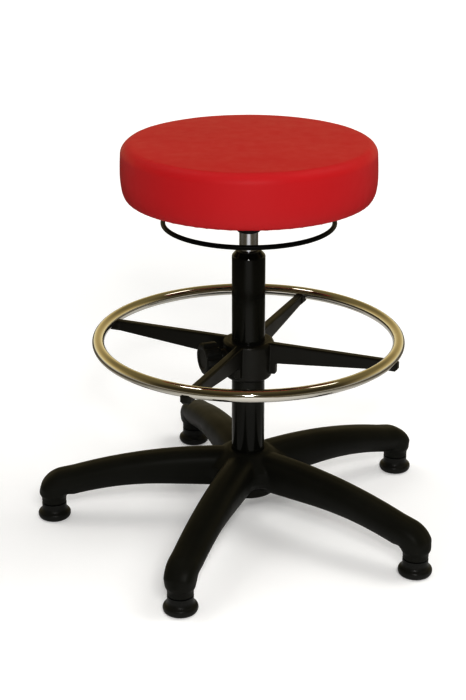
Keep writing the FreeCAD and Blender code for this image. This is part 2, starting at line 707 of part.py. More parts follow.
def seat_profile(inset):
    """Outside of the upholstered seat, moved in by inset, as (r, z) points from the bottom edge up."""
    side_mid = (SEAT_BOTTOM_Z + SEAT_SIDE_TOP_Z) / 2
    bend = SEAT_SHOULDER_R * (1 - math.sqrt(0.5))
    flat_r = SEAT_R - 1 - SEAT_SHOULDER_R
    rise = SEAT_CROWN_Z - SEAT_SIDE_TOP_Z - SEAT_SHOULDER_R
    crown_r = (flat_r ** 2 + rise ** 2) / (2 * rise)
    half = math.asin(flat_r / crown_r) / 2
    return [(SEAT_R - 14, SEAT_BOTTOM_Z + inset),
            (SEAT_R - 6.2 - inset * 0.7, SEAT_BOTTOM_Z + 3.2 + inset * 0.7, "arc"),
            (SEAT_R - 2.6 - inset, SEAT_BOTTOM_Z + 11),
            (SEAT_R - inset, side_mid, "arc"),
            (SEAT_R - 1 - inset, SEAT_SIDE_TOP_Z),
            (SEAT_R - 1 - bend - inset * 0.7, SEAT_SIDE_TOP_Z + SEAT_SHOULDER_R - bend - inset * 0.7, "arc"),
            (flat_r, SEAT_SIDE_TOP_Z + SEAT_SHOULDER_R - inset),
            (crown_r * math.sin(half), SEAT_CROWN_Z - crown_r * (1 - math.cos(half)) - inset, "arc"),
            (0, SEAT_CROWN_Z - inset)]


def seat_cover():
    outer = revolve([(0, SEAT_BOTTOM_Z)] + seat_profile(0))
    inner = revolve([(0, SEAT_BOTTOM_Z + COVER_T)] + seat_profile(COVER_T))
    return outer.cut(inner).cut(cyl(HEM_R, SEAT_BOTTOM_Z - 1, SEAT_BOTTOM_Z + 10))


def seat_foam():
    inset = COVER_T + 0.15
    body = revolve([(0, SEAT_BOTTOM_Z + inset)] + seat_profile(inset))
    keep = cyl(SEAT_R + 5, BOARD_Z, 620).cut(cyl(BOARD_R, BOARD_Z - 5, BOARD_Z + BOARD_T))
    return body.common(keep)


def dust_cover():
    return tube(DUST_OUT_R, DUST_IN_R, SEAT_BOTTOM_Z - DUST_T, SEAT_BOTTOM_Z)


def staples():
    low = SEAT_BOTTOM_Z - DUST_T - STAPLE_T
    staple = block(STAPLE_R, STAPLE_R + 0.9, -5, 5, low, low + STAPLE_T)
    return group([turned(staple, 360 / STAPLE_COUNT * i) for i in range(STAPLE_COUNT)])


# ---- all nodes ----------------------------------------------------------------------
def nodes():
    made = {
        "star_base": star_base(), "hub_sleeve": hub_sleeve(), "glide_stems": glide_stems(),
        "grip_rings": grip_rings(), "column_tube": column_tube(), "guide_bushing": guide_bushing(),
        "bearing_race_lower": bearing_race_lower(), "thrust_balls": thrust_balls(),
        "ball_cage": ball_cage(), "bearing_race_upper": bearing_race_upper(),
        "rubber_buffer": rubber_buffer(), "piston_rod": piston_rod(), "piston": piston(),
        "rod_washer": rod_washer(), "rod_clip": rod_clip(), "gas_cylinder": gas_cylinder(),
        "rod_guide": rod_guide(), "rod_seal": rod_seal(), "valve_pin": valve_pin(),
        "footring_tube": footring_tube(), "footring_spider": footring_spider(),
        "footring_screws": footring_screws(), "height_sleeve": height_sleeve(),
        "thread_insert": thread_insert(), "clamp_pad": clamp_pad(), "clamp_stud": clamp_stud(),
        "clamp_knob": clamp_knob(), "release_ring": release_ring(), "rocker_plate": rocker_plate(),
        "seat_plate": seat_plate(), "socket_dish": socket_dish(), "taper_socket": taper_socket(),
        "seat_bolts": seat_bolts(), "tee_nuts": tee_nuts(), "seat_board": seat_board(),
        "seat_foam": seat_foam(), "seat_cover": seat_cover(), "dust_cover": dust_cover(),
        "staples": staples(),
    }
    for number, deg in enumerate(arm_degs(), start=1):
        made[f"glide_{number}"] = glide(deg)
    return made


def main():
    os.makedirs("parts", exist_ok=True)
    for name, shape in nodes().items():
        if not shape.isValid() or not shape.Solids:
            raise SystemExit(f"{name} is not a valid solid")
        shape.exportStep(f"parts/{name}.step")
        print(f"{name}: {len(shape.Solids)} solid(s), {shape.Volume / 1000:.1f} cm3")


main()
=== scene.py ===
"""Looks of the swivel stool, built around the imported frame. Metres, in the frame's own axes:
origin on the floor under the column, +Z up, +Y towards the back."""
import bpy
import bmesh
import json
import math
from mathutils import Matrix, Vector, noise


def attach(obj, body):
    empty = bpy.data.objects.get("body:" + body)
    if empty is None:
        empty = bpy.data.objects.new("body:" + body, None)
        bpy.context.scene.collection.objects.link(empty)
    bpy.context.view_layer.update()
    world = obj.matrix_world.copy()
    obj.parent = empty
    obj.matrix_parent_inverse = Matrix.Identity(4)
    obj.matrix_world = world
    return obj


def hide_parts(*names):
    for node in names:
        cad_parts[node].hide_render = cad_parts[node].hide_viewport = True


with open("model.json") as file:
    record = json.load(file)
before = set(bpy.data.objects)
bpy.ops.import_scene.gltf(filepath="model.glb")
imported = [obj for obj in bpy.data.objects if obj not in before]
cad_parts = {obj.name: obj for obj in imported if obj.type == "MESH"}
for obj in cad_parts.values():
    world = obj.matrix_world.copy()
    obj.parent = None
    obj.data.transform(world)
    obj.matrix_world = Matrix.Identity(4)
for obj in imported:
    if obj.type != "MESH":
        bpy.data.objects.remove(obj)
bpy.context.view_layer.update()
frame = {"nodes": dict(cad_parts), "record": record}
scene = bpy.context.scene
MM = 0.001

# ---- dimensions in mm, most of them the CAD parts' own -------------------------------
ARM_DEGS = [36 + 72 * i for i in range(5)]
GLIDE_R = 304
ARM_HALF_ROOT, ARM_HALF_TIP, ARM_END_HALF = 26, 24.2, 22.2
ARM_CREST_Z, ARM_CREST_R, ARM_CREST_START = 119.3, 820, 40
ARM_KEEL_Z, ARM_KEEL_R, ARM_KEEL_START = 62.5, 530, 128
ARM_ELBOW_R, ARM_ELBOW_Z = 283.5, 43
ARM_START_R, ARM_UPRIGHT_END = 22, 272
ARM_ROOT_R = 200                # the root's squarer section has faded out here
ARM_RIB_RS, ARM_RIB_HALF = (85, 130, 175, 220, 265), 1.5
POCKET_START_R, POCKET_BOTTOM_Z = 52, 20
POCKET_IN, POCKET_OUT, POCKET_DEPTH, POCKET_EDGE = 1.6, 10.5, 26, 2.0
PIN_R, PIN_AT_R, PIN_AT_Z, PIN_FLOOR, PIN_CUT = 2.3, 274.5, 53, 19.5, 8
NECK_R, NECK_TOP_Z = 19, 26
HUB_R, HUB_CORE_R, HUB_BOTTOM_Z, HUB_WALL_TOP_Z, HUB_TOP_Z = 44, 32, 52.5, 104, 121.5
COLUMN_R = 25
BORE_LOW_R, BORE_LOW_Z, BORE_HIGH_R, BORE_HIGH_Z = COLUMN_R - 0.4, 50, COLUMN_R + 0.5, 118
RING_R = 225.7
SPOKE_DEGS = [68 + 90 * i for i in range(4)]
SPOKE_TOP_Z, SPOKE_LOW_IN_Z, SPOKE_LOW_OUT_Z = 300, 268, 285.5
SPOKE_HALF, SPOKE_HALF_LOW, SPOKE_EDGE = 6.3, 4.6, 1.6
LUG_R, LUG_Z = 45, 250.5
SADDLE_HALF, SADDLE_IN_R, SADDLE_OUT_R, SADDLE_LOW_Z, SADDLE_EDGE = 8, 212, 235.5, 284.5, 2.4
SCREW_SEAT_R, SCREW_SEAT_Z = 5, 287.5
SPIDER_R, SPIDER_LOW_R, SPIDER_BOTTOM_Z, SPIDER_BORE_R = 38.6, 35.4, 242, 27
SPIDER_LIP, SPIDER_LIP_DEPTH = 3.4, 2
KNOB_DEG, KNOB_Z, KNOB_R, KNOB_IN, KNOB_OUT = 203, 278.5, 24.8, 47, 75
KNOB_LOBES, KNOB_STUD_R, KNOB_BORE_END, KNOB_RECESS = 8, 4.0, 8, 1.2
GROOVE_R, GROOVE_OUT, GROOVE_CREST = 6.2, 3, 0.9
FLANGE_R, FLANGE_T, BARREL_START = 15, 3, 5
BOSS_R, BOSS_AT_R, BOSS_IN, BOSS_OUT = 11, 33.5, -8, 13
INSERT_HOLE_R, INSERT_HOLE_START, INSERT_HOLE_LENGTH = 6.6, 34, 20
STUD_HOLE_R, STUD_HOLE_START, STUD_HOLE_LENGTH = 4.6, 20, 40
SEAT_R, SEAT_BOTTOM_Z, SEAT_SIDE_TOP_Z, SEAT_CROWN_Z = 187, 523.5, 588, 606
SEAT_SHOULDER_R, SEAT_CROWN_POWER = 16, 2.4
HEM_START, HEM_LENGTH, HEM_T = 14, 25, 0.6
BOARD_R, BOARD_Z, BOARD_T = 171, 525, 12
PLEATS = 66


# ---- mesh helpers -------------------------------------------------------------------
def polar(r, deg, z=0.0):
    return Vector((r * math.cos(math.radians(deg)), r * math.sin(math.radians(deg)), z))


def turned(deg):
    return Matrix.Rotation(math.radians(deg), 4, "Z")


def along(deg, r, z):
    """Moves a shape made along +Z to point outwards in direction deg from radius r at height z."""
    return Matrix.Translation(polar(r, deg, z)) @ polar(1, deg).to_track_quat("Z", "Y").to_matrix().to_4x4()


def shade(mesh, smooth_deg):
    mesh.shade_smooth()
    mesh.set_sharp_from_angle(angle=math.radians(smooth_deg))


def make_object(name, bm, smooth_deg=40):
    """Mesh object from bm, whose coordinates are in mm."""
    bmesh.ops.scale(bm, vec=(MM, MM, MM), verts=bm.verts)
    bmesh.ops.recalc_face_normals(bm, faces=bm.faces)
    mesh = bpy.data.meshes.new(name)
    bm.to_mesh(mesh)
    bm.free()
    shade(mesh, smooth_deg)
    obj = bpy.data.objects.new(name, mesh)
    scene.collection.objects.link(obj)
    return obj


def add_rings(bm, rings):
    """Skins a list of closed rings and caps both ends."""
    rows = [[bm.verts.new(p) for p in ring] for ring in rings]
    count = len(rows[0])
    for a, b in zip(rows, rows[1:]):
        for i in range(count):
            j = (i + 1) % count
            bm.faces.new((a[i], a[j], b[j], b[i]))
    bm.faces.new(rows[0])
    bm.faces.new(list(reversed(rows[-1])))


def add_lathe(bm, profile, steps, shift=None):
    """Solid of revolution about Z from a closed list of (r, z); shift(r, z, angle) may move a point."""
    rows = []
    for r, z in profile:
        if r == 0:
            rows.append([bm.verts.new((0, 0, z))] * steps)
            continue
        row = []
        for i in range(steps):
            angle = 2 * math.pi * i / steps
            at_r, at_z = shift(r, z, angle) if shift else (r, z)
            row.append(bm.verts.new((at_r * math.cos(angle), at_r * math.sin(angle), at_z)))
        rows.append(row)
    for a, b in zip(rows, rows[1:] + rows[:1]):
        for i in range(steps):
            j = (i + 1) % steps
            corners = list(dict.fromkeys((a[i], a[j], b[j], b[i])))
            if len(corners) > 2:
                bm.faces.new(corners)


def add_along(bm, profile, steps, matrix, shift=None):
    """Solid of revolution about the Z axis of matrix."""
    before = set(bm.verts)
    add_lathe(bm, profile, steps, shift)
    bmesh.ops.transform(bm, matrix=matrix, verts=[v for v in bm.verts if v not in before])


def add_box(bm, x, y, z, matrix, bevel):
    """Box with rounded edges between the limits x, y and z (pairs), moved by matrix."""
    verts = bmesh.ops.create_cube(bm, size=1)["verts"]
    for v in verts:
        v.co = Vector([limits[0] if c < 0 else limits[1] for c, limits in zip(v.co, (x, y, z))])
    edges = list(dict.fromkeys(e for v in verts for e in v.link_edges))
    result = bmesh.ops.bevel(bm, geom=edges, offset=bevel, segments=3, affect="EDGES")
    verts = list({v for f in result["faces"] for v in f.verts} | {v for v in verts if v.is_valid})
    bmesh.ops.transform(bm, matrix=matrix, verts=verts)


def smoothstep(value, low, high):
    t = min(1.0, max(0.0, (value - low) / (high - low)))
    return t * t * (3 - 2 * t)


def catmull(points, per_span, closed=False):
    """Smooth line through points (tuples of any length)."""
    count = len(points)
    made = []
    for s in range(count if closed else count - 1):
        p = [points[(s + k) % count] if closed else points[min(count - 1, max(0, s + k))]
             for k in (-1, 0, 1, 2)]
        for i in range(per_span):
            t = i / per_span
            made.append(tuple(0.5 * (2 * b + (c - a) * t + (2 * a - 5 * b + 4 * c - d) * t * t
                                     + (3 * b - a - 3 * c + d) * t ** 3) for a, b, c, d in zip(*p)))
    if not closed:
        made.append(tuple(points[-1]))
    return made


def apply_modifiers(obj):
    bpy.context.view_layer.update()
    graph = bpy.context.evaluated_depsgraph_get()
    old = obj.data
    mesh = bpy.data.meshes.new_from_object(obj.evaluated_get(graph))
    obj.modifiers.clear()
    obj.data = mesh
    bpy.data.meshes.remove(old)


def cast(obj, voxel, smoothing):
    """Joins obj's overlapping solids into one skin with softened inner corners."""
    remesh = obj.modifiers.new("remesh", "REMESH")
    remesh.mode = "VOXEL"
    remesh.voxel_size = voxel * MM
    smooth = obj.modifiers.new("smooth", "SMOOTH")
    smooth.factor = 0.5
    smooth.iterations = smoothing
    apply_modifiers(obj)


def cut(obj, bm):
    """Takes the closed shapes in bm away from obj."""
    tool = make_object("cutter", bm)
    boolean = obj.modifiers.new("cut", "BOOLEAN")
    boolean.operation = "DIFFERENCE"
    boolean.solver = "EXACT"
    boolean.object = tool
    apply_modifiers(obj)
    mesh = tool.data
    bpy.data.objects.remove(tool)
    bpy.data.meshes.remove(mesh)


# ---- materials ----------------------------------------------------------------------
NOISE_LOW, NOISE_HIGH = 0.3, 0.7        # nearly all values of a noise texture lie between these
BLACK = (0, 0, 0)
DUST = (0.30, 0.29, 0.25)


class Graph:
    """Short ways to add and link shader nodes."""

    def __init__(self, tree):
        self.nodes = tree.nodes
        self.links = tree.links

    def put(self, socket, value):
        """Feeds an input socket from an output socket, or sets its own value."""
        if isinstance(value, bpy.types.NodeSocket):
            self.links.new(value, socket)
        else:
            socket.default_value = value

    def add(self, kind, inputs, **settings):
        node = self.nodes.new(kind)
        for key, value in settings.items():
            setattr(node, key, value)
        for key, value in inputs.items():
            self.put(node.inputs[key], value)
        return node

    def ramp(self, value, stops):
        """Colour ramp; stops are (position, colour)."""
        node = self.add("ShaderNodeValToRGB", {"Fac": value})
        elements = node.color_ramp.elements
        while len(elements) < len(stops):
            elements.new(0.5)
        for element, (position, colour) in zip(elements, stops):
            element.position = position
            element.color = (*colour, 1)
        return node.outputs["Color"]

    def spread(self, value, from_low, from_high, low, high):
        inputs = {"Value": value, "From Min": from_low, "From Max": from_high, "To Min": low, "To Max": high}
        return self.add("ShaderNodeMapRange", inputs).outputs["Result"]

    def calculate(self, operation, *values):
        return self.add("ShaderNodeMath", dict(enumerate(values)), operation=operation).outputs[0]

    def mix(self, share, first, second):
        """Blend of two colours; 6 and 7 are the node's colour inputs, and 2 is its colour output."""
        inputs = {"Factor": share, 6: first, 7: second}
        return self.add("ShaderNodeMix", inputs, data_type="RGBA").outputs[2]


class Look(Graph):
    """Principled material made of procedural layers in object coordinates."""

    def __init__(self, name, rough, metal=0.0, specular=0.5):
        self.material = bpy.data.materials.new(name)
        self.material.use_nodes = True
        super().__init__(self.material.node_tree)
        self.shader = self.nodes["Principled BSDF"]
        self.shader.inputs["Metallic"].default_value = metal
        self.shader.inputs["Roughness"].default_value = rough
        self.shader.inputs["Specular IOR Level"].default_value = specular
        self.coords = self.add("ShaderNodeTexCoord", {}).outputs["Object"]
        self.normal = None

    def noise(self, scale, detail, stretch=None, distortion=0.0):
        place = self.coords
        if stretch:
            place = self.add("ShaderNodeMapping", {"Vector": place, "Scale": stretch}).outputs["Vector"]
        inputs = {"Vector": place, "Scale": scale, "Detail": detail, "Distortion": distortion}
        return self.add("ShaderNodeTexNoise", inputs).outputs["Fac"]

    def cells(self, scale, feature):
        inputs = {"Vector": self.coords, "Scale": scale}
        return self.add("ShaderNodeTexVoronoi", inputs, feature=feature).outputs["Distance"]

    def colours(self, value, stops):
        self.put(self.shader.inputs["Base Color"], self.ramp(value, stops))

    def mottle(self, value, dark, light):
        self.colours(value, [(NOISE_LOW, dark), (NOISE_HIGH, light)])

    def roughness(self, value, low, high):
        self.put(self.shader.inputs["Roughness"], self.spread(value, NOISE_LOW, NOISE_HIGH, low, high))

    def bump(self, value, height_mm, strength):
        """Adds relief on top of the relief already there."""
        inputs = {"Strength": strength, "Distance": height_mm * MM, "Height": value}
        if self.normal is not None:
            inputs["Normal"] = self.normal
        self.normal = self.add("ShaderNodeBump", inputs).outputs["Normal"]
        self.put(self.shader.inputs["Normal"], self.normal)


def mixed(colour, share, other):
    return tuple(a + (b - a) * share for a, b in zip(colour, other))


def red_vinyl():
    look = Look("red_vinyl", 0.49, specular=0.34)
    look.mottle(look.noise(5, 3), (0.448, 0.0150, 0.0195), (0.472, 0.0175, 0.0225))
    look.roughness(look.noise(60, 4), 0.46, 0.53)
    look.bump(look.cells(620, "DISTANCE_TO_EDGE"), 0.05, 0.5)
    look.bump(look.noise(1900, 2), 0.02, 0.5)
    look.bump(look.noise(14, 2), 0.12, 0.3)
    return look.material


def moulded_black(name, colour, rough, grain_mm, specular=0.3):
    """Satin moulded plastic: fine spark texture, faint flow marks and a trace of dust."""
    look = Look(name, rough, specular=specular)
    look.colours(look.noise(9, 4), [(NOISE_LOW, mixed(colour, 0.2, BLACK)), (0.52, colour),
                                    (0.75, mixed(colour, 0.008, DUST))])
    look.roughness(look.noise(30, 3), rough - 0.03, rough + 0.05)
    look.bump(look.noise(1100, 3), grain_mm, 0.6)
    look.bump(look.noise(38, 2), 0.03, 0.25)
    return look.material


def enamel(name, colour, rough, peel_mm, specular=0.4):
    """Baked enamel with a faint orange peel."""
    look = Look(name, rough, specular=specular)
    look.mottle(look.noise(10, 4), mixed(colour, 0.3, BLACK), colour)
    look.roughness(look.noise(30, 5), rough * 0.75, rough * 1.35)
    look.bump(look.noise(240, 3), peel_mm, 0.5)
    return look.material


def ground_metal(name, colour, rough, lay):
    """Ground or turned metal; lay stretches the grinding marks along the cut."""
    look = Look(name, rough, metal=1.0)
    look.mottle(look.noise(40, 4), mixed(colour, 0.16, BLACK), colour)
    look.roughness(look.noise(300, 4, lay), rough * 0.7, rough * 1.3)
    look.bump(look.noise(900, 3, lay), 0.006, 0.6)
    return look.material


def ring_chrome():
    look = Look("ring_chrome", 0.07, metal=1.0)
    look.mottle(look.noise(7, 5), (0.68, 0.655, 0.60), (0.76, 0.74, 0.685))
    look.roughness(look.noise(24, 6), 0.035, 0.1)
    look.bump(look.noise(55, 2), 0.03, 0.2)
    return look.material


def zinc():
    look = Look("zinc_steel", 0.3, metal=1.0)
    look.colours(look.cells(700, "F1"), [(0.2, (0.52, 0.53, 0.54)), (0.8, (0.66, 0.67, 0.68))])
    look.roughness(look.noise(200, 4), 0.22, 0.4)
    look.bump(look.noise(900, 3), 0.01, 0.5)
    return look.material


def rubber():
    look = Look("black_rubber", 0.75, specular=0.25)
    look.mottle(look.noise(60, 4), (0.012, 0.012, 0.012), (0.03, 0.03, 0.029))
    look.bump(look.noise(900, 4), 0.05, 0.5)
    return look.material


def plywood():
    look = Look("plywood", 0.62, specular=0.3)
    grain = look.noise(34, 6, (1.0, 9.0, 9.0), 1.2)
    look.colours(grain, [(NOISE_LOW, (0.42, 0.27, 0.135)), (0.5, (0.55, 0.385, 0.21)),
                         (0.72, (0.63, 0.47, 0.28))])
    look.bump(look.noise(240, 4, (1.0, 12.0, 12.0)), 0.06, 0.6)
    return look.material


def open_foam():
    look = Look("foam", 0.9, specular=0.15)
    look.mottle(look.noise(25, 4), (0.70, 0.62, 0.36), (0.82, 0.76, 0.52))
    look.bump(look.cells(900, "F1"), 0.3, 0.7)
    return look.material


def dust_cloth():
    look = Look("dust_cloth", 0.9, specular=0.15)
    look.mottle(look.noise(500, 4), (0.012, 0.012, 0.013), (0.04, 0.04, 0.042))
    look.bump(look.noise(1500, 5, (1, 1.6, 1)), 0.12, 0.8)
    return look.material


ROUND_Z = (0.04, 0.04, 6.0)      # marks run round the Z axis
EVEN = (1, 1, 1)
LOOKS = {
    "red_vinyl": red_vinyl(),
    "base_nylon": moulded_black("base_nylon", (0.0115, 0.0117, 0.0088), 0.46, 0.03, 0.22),
    "glide_plastic": moulded_black("glide_plastic", (0.0150, 0.0152, 0.0135), 0.38, 0.02),
    "spider_nylon": moulded_black("spider_nylon", (0.0105, 0.0100, 0.0072), 0.37, 0.03, 0.42),
    "knob_plastic": moulded_black("knob_plastic", (0.0105, 0.0108, 0.0090), 0.42, 0.025),
    "black_acetal": moulded_black("black_acetal", (0.010, 0.010, 0.010), 0.34, 0.01),
    "column_enamel": enamel("column_enamel", (0.0105, 0.0107, 0.0080), 0.14, 0.012, 0.31),
    "rod_enamel": enamel("rod_enamel", (0.0060, 0.0060, 0.0050), 0.34, 0.02, 0.12),
    "plate_enamel": enamel("plate_enamel", (0.0085, 0.0085, 0.0085), 0.45, 0.08),
    "cylinder_steel": ground_metal("cylinder_steel", (0.62, 0.635, 0.675), 0.13, ROUND_Z),
    "ground_steel": ground_metal("ground_steel", (0.58, 0.58, 0.60), 0.14, ROUND_Z),
    "spring_steel": ground_metal("spring_steel", (0.16, 0.16, 0.165), 0.35, EVEN),
    "insert_brass": ground_metal("insert_brass", (0.68, 0.50, 0.22), 0.25, EVEN),
    "zinc_steel": zinc(),
    "ring_chrome": ring_chrome(),
    "black_rubber": rubber(),
    "plywood": plywood(),
    "foam": open_foam(),
    "dust_cloth": dust_cloth(),
}


def finish_piece(obj, body, slot, *nodes):
    """Gives a new piece its material, body and slot, and hides the CAD nodes that it stands for."""
    obj.data.materials.clear()
    obj.data.materials.append(LOOKS[slot])
    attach(obj, body)
    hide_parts(*nodes)
    return obj


for part in frame["record"]["subparts"]:
    node = frame["nodes"][part["node"]]
    if not node.material_slots:
        node.data.materials.append(LOOKS[part["material_slot"]])
    for held in node.material_slots:
        held.material = LOOKS[part["material_slot"]]


# ---- camera -------------------------------------------------------------------------
CAMERA_AT = (0.0, -2.2586, 1.1608)
CAMERA_TILT, CAMERA_TURN = 68.74, 0.587
CAMERA_LENS, CAMERA_SENSOR = 82.41, 36
CAMERA_CLIP = (0.05, 50)

camera = bpy.data.objects.new("camera", bpy.data.cameras.new("camera"))
camera.location = CAMERA_AT
camera.rotation_euler = (math.radians(CAMERA_TILT), 0, math.radians(CAMERA_TURN))
camera.data.sensor_width = CAMERA_SENSOR
camera.data.lens = CAMERA_LENS
camera.data.clip_start, camera.data.clip_end = CAMERA_CLIP
scene.collection.objects.link(camera)
scene.camera = camera


# ---- stage and light ----------------------------------------------------------------
FLOOR_HALF = 9000                # mm
PAPER_DARK, PAPER_LIGHT = (0.86, 0.86, 0.86), (0.89, 0.89, 0.89)
# painted reflection: the dim warm colour that mirrors see on the floor off to the sides
FLOOR_PAINTED_REFLECTION = (0.12, 0.10, 0.06, 1)
# painted shade: how far mirrors see the floor darkened, by distance to the side as a share of FLOOR_REACH
# metres
FLOOR_REACH = 4
FLOOR_PAINTED_SHADE = [(0.07, (0.2, 0.2, 0.2)), (0.18, (0.95, 0.95, 0.95)), (0.36, (0.95, 0.95, 0.95)),
                  (0.5, (0.25, 0.25, 0.25))]
GLOW_NEAR, GLOW_FAR, GLOW_LOW, GLOW_HIGH = 0.2, 3.5, 0.12, 0.5
# colours of the surroundings by height above the horizon, as the sine of the angle
DOME = [(0.0, (0.14, 0.138, 0.13)), (0.5, (0.26, 0.258, 0.25)), (1.0, (0.42, 0.42, 0.41))]
ROOM_FRONT = [(0.0, (0.20, 0.17, 0.11)), (0.25, (0.06, 0.05, 0.03)), (0.6, (0.05, 0.042, 0.026)),
              (1.0, (0.12, 0.10, 0.055))]
ROOM_BACK = [(0.0, (0.72, 0.65, 0.44)), (0.3, (0.46, 0.37, 0.19)), (0.55, (0.22, 0.18, 0.09)),
             (1.0, (0.15, 0.125, 0.065))]
ROOM_BLEND = 0.35                # front and back meet within this much of the middle
BACKDROP = (0.86, 0.86, 0.86, 1)


def stage_floor():
    """Very large pale paper floor. Mirrors see it warmer and, off to the sides, darker: painted shade and
    warmth, a painted reflection of a dim warm room.
    """
    bm = bmesh.new()
    bmesh.ops.create_grid(bm, x_segments=4, y_segments=4, size=FLOOR_HALF)
    floor = make_object("stage_floor", bm)
    look = Look("stage_paper", 0.9, specular=0.1)
    path = look.add("ShaderNodeLightPath", {}).outputs
    x = look.add("ShaderNodeSeparateXYZ", {"Vector": look.coords}).outputs["X"]
    reach = look.spread(look.calculate("ABSOLUTE", x), 0, FLOOR_REACH, 0, 1)
    # painted shade on the floor, seen only by glossy rays
    painted_shade = look.calculate("MULTIPLY", look.ramp(reach, FLOOR_PAINTED_SHADE), path["Is Glossy Ray"])
    paper = look.ramp(look.noise(3, 2), [(NOISE_LOW, PAPER_DARK), (NOISE_HIGH, PAPER_LIGHT)])
    look.put(look.shader.inputs["Base Color"], look.mix(painted_shade, paper, FLOOR_PAINTED_REFLECTION))
    # far away the lights fall off, and a little glow keeps the paper pale there
    length = look.add("ShaderNodeVectorMath", {"Vector": look.coords}, operation="LENGTH")
    distance = length.outputs["Value"]
    glow = look.spread(distance, GLOW_NEAR, GLOW_FAR, GLOW_LOW, GLOW_HIGH)
    look.shader.inputs["Emission Color"].default_value = (1, 1, 1, 1)
    seen_glow = look.calculate("MULTIPLY", glow, path["Is Camera Ray"])
    look.put(look.shader.inputs["Emission Strength"], seen_glow)
    floor.data.materials.append(look.material)


def room():
    """White to the camera, a soft even dome to matt surfaces, and a dim warm room to mirrors."""
    world = bpy.data.worlds.new("room")
    scene.world = world
    world.use_nodes = True
    graph = Graph(world.node_tree)
    direction = graph.add("ShaderNodeTexCoord", {}).outputs["Generated"]
    path = graph.add("ShaderNodeLightPath", {}).outputs
    parts = graph.add("ShaderNodeSeparateXYZ", {"Vector": direction}).outputs
    dome, front, back = [graph.ramp(parts["Z"], stops) for stops in (DOME, ROOM_FRONT, ROOM_BACK)]
    walls = graph.mix(graph.spread(parts["Y"], -ROOM_BLEND, ROOM_BLEND, 0, 1), front, back)
    lit = graph.mix(path["Is Glossy Ray"], dome, walls)
    shown = graph.mix(path["Is Camera Ray"], lit, BACKDROP)
    graph.put(graph.nodes["Background"].inputs["Color"], shown)


def area_light(name, at, target, size, power, colour, mirrored):
    """Rectangular lamp; mirrors and gloss see it only if mirrored is true."""
    light = bpy.data.lights.new(name, "AREA")
    light.shape = "RECTANGLE"
    light.size, light.size_y = size
    light.energy = power
    light.color = colour
    obj = bpy.data.objects.new(name, light)
    obj.location = at
    obj.rotation_euler = (Vector(target) - Vector(at)).to_track_quat("-Z", "Y").to_euler()
    obj.visible_glossy = mirrored
    scene.collection.objects.link(obj)


stage_floor()
room()
area_light("key_front", (0.45, -2.5, 1.95), (0, 0, 0.4), (0.7, 0.5), 21, (1, 0.985, 0.96), False)
area_light("flash", (0.05, -2.5, 1.62), (0, 0, 0.4), (0.2, 0.2), 14, (1, 0.99, 0.985), True)
area_light("top_left", (-1.5, 0.4, 2.6), (0, 0, 0.35), (1.4, 1.4), 7, (1, 0.99, 0.97), False)
area_light("top_right", (1.7, 0.2, 2.5), (0, 0, 0.35), (1.4, 1.4), 16, (1, 0.99, 0.97), False)
area_light("lamp_left", (-0.78, 0.28, 2.5), (0, 0, 0.3), (0.32, 0.32), 1.4, (1, 0.97, 0.92), True)
area_light("lamp_right", (1.05, 0.35, 2.4), (0, 0, 0.3), (0.45, 0.45), 1.2, (1, 0.96, 0.88), True)


# ---- five-armed base ----------------------------------------------------------------
# half of an arm's section, from the keel up, as shares of its half width and height
SECTION_MID = ((0, 0), (0.36, 0.01), (0.58, 0.07), (0.8, 0.25), (0.94, 0.42), (1, 0.58), (0.93, 0.76),
               (0.78, 0.88), (0.56, 0.96), (0.24, 1))
SECTION_ROOT = ((0, 0), (0.4, 0), (0.7, 0.03), (0.87, 0.15), (0.96, 0.32), (1, 0.56), (0.94, 0.76),
                (0.8, 0.89), (0.57, 0.965), (0.25, 1))
# sections round the elbow: lean in degrees, depth, half width, share of the root's section
ELBOW = ((14, 39.0, 24.1, 0.15), (32, 39.4, 23.9, 0.4), (50, 40.5, 23.5, 0.7), (72, 42.0, 23.0, 1.0))
# round sections below the elbow: z, radius
FOOT = ((ARM_ELBOW_Z + 1.5, ARM_END_HALF + 0.3), (41, ARM_END_HALF), (38.6, ARM_END_HALF - 1.2),
        (36.8, NECK_R + 0.5), (33, NECK_R), (NECK_TOP_Z, NECK_R))
ARM_STEPS = 96
HUB_STEPS = 96
HUB_DOME = ((60, 100), (52, 109), (44, 115), (38, 119), (HUB_CORE_R, HUB_TOP_Z))
# webs between the arms: z, distance from the arm's middle plane, radius of the inner corner
WEB = ((70, 18.5, 21), (74, 21.5, 24), (84, 23.5, 27), (96, 23.6, 27), (104, 22, 25), (110, 17, 21))
WEB_REACH = 96
BASE_VOXEL, BASE_SMOOTHING = 1.35, 16


def crest_z(r):
    past = max(0.0, r - ARM_CREST_START)
    return ARM_CREST_Z - ARM_CREST_R + math.sqrt(ARM_CREST_R ** 2 - past ** 2)


def keel_z(r):
    past = max(0.0, r - ARM_KEEL_START)
    return ARM_KEEL_Z - ARM_KEEL_R + math.sqrt(ARM_KEEL_R ** 2 - past ** 2)


def section(half, low, high, root):
    """Closed smooth arm section as (w, z), from the keel round."""
    shares = [(m[0] + (h[0] - m[0]) * root, m[1] + (h[1] - m[1]) * root)
              for m, h in zip(SECTION_MID, SECTION_ROOT)]
    near = [(half * w, low + (high - low) * t) for w, t in shares]
    far = [(-w, z) for w, z in reversed(near[1:])]
    return catmull(near + [(0, high)] + far, 2, closed=True)


